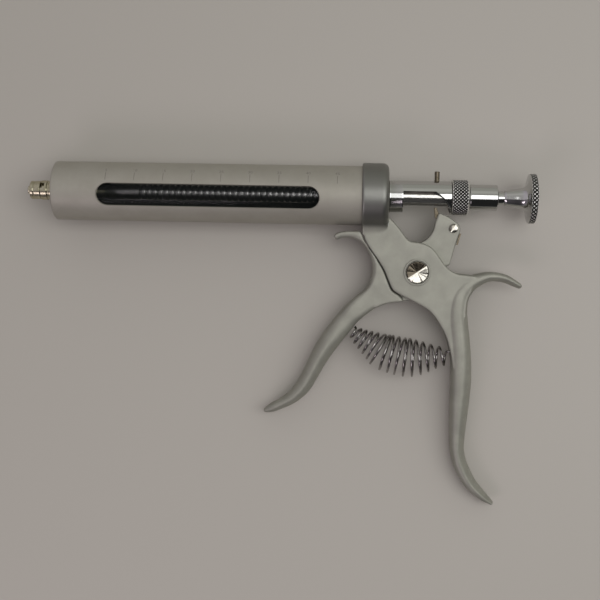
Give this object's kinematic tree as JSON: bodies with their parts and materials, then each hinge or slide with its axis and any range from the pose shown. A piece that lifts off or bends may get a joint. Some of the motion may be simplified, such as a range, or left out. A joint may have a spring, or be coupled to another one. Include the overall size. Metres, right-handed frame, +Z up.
{
  "type": "veterinary syringe",
  "caption": "Repeating livestock syringe with a windowed metal barrel, pistol handles, trigger pawl, dose ring, thumb knob and a barrel-shaped return spring.",
  "frame": {"origin": "on the surface that the syringe lies on, under the centre of its bounding box", "axes": "+X along the barrel from the muzzle to the thumb knob, +Z up, handles towards -Y"},
  "size_m": [0.242, 0.1622, 0.0309],
  "materials": {
    "satin_aluminium": "fine blasted and anodised, matt",
    "cast_alloy": "satin, tumbled casting with a fine grain",
    "chrome_plate": "bright plated, knurled on the ring and the knob's rim",
    "nickel_plate": "nickelled brass, bright with a warm cast",
    "spring_steel": "drawn wire, bright",
    "blackened_steel": "blackened and oiled, glossy",
    "barrel_glass": "clear, polished",
    "black_rubber": "smooth moulded",
    "nylon": "natural, turned"
  },
  "bodies": {
    "root": {"barrel_casing": "satin_aluminium", "glass_barrel": "barrel_glass", "front_gasket": "black_rubber", "rear_gasket": "black_rubber", "nozzle_hub": "nickel_plate", "nozzle_nut": "nickel_plate", "luer_cone": "nickel_plate", "luer_lock_sleeve": "nickel_plate", "guide_tube": "chrome_plate", "index_pin": "spring_steel", "frame": "cast_alloy", "pivot_screw": "nickel_plate", "pivot_nut": "nickel_plate", "return_spring": "spring_steel"},
    "plunger": {"piston_front_plate": "nickel_plate", "piston_seal": "black_rubber", "piston_rear_plate": "nickel_plate"},
    "rod": {"piston_rod": "blackened_steel", "thumb_knob": "chrome_plate"},
    "dose": {"dose_ring": "chrome_plate", "dose_sleeve": "nickel_plate", "rear_tube": "chrome_plate", "rod_bush": "nylon"},
    "trigger_lever": {"trigger": "cast_alloy", "pivot_bush": "nylon", "pawl_screw": "nickel_plate", "pawl_spring": "spring_steel"},
    "pawl_lever": {"pawl": "nickel_plate"}
  },
  "joints": [
    {"name": "plunger_slide", "type": "slide", "parent": "root", "child": "plunger", "axis": [1, 0, 0], "range_m": [0, 0.13775]},
    {"name": "rod_turn", "type": "hinge", "parent": "plunger", "child": "rod", "pos_m": [0.1098, 0.06563, 0.01546], "axis": [1, 0, 0], "range_deg": [-180, 180]},
    {"name": "dose_turn", "type": "hinge", "parent": "root", "child": "dose", "pos_m": [0.0868, 0.06563, 0.01546], "axis": [1, 0, 0], "range_deg": [-160, 0]},
    {"name": "trigger_pull", "type": "hinge", "parent": "root", "child": "trigger_lever", "pos_m": [0.0666, 0.03013, 0.01285], "axis": [0, -0.0732, 0.9973], "range_deg": [0, 24], "stiffness_Nm_per_rad": 1.2, "springref_deg": -20.05, "deforming": ["return_spring"]},
    {"name": "pawl_swing", "type": "hinge", "parent": "trigger_lever", "child": "pawl_lever", "pos_m": [0.0832, 0.05107, 0.01439], "axis": [0, -0.0732, 0.9973], "range_deg": [0, 9]}
  ],
  "couplings": [
    {"joint": "pawl_swing", "follows": "trigger_pull", "ratio": 0.35}
  ]
}
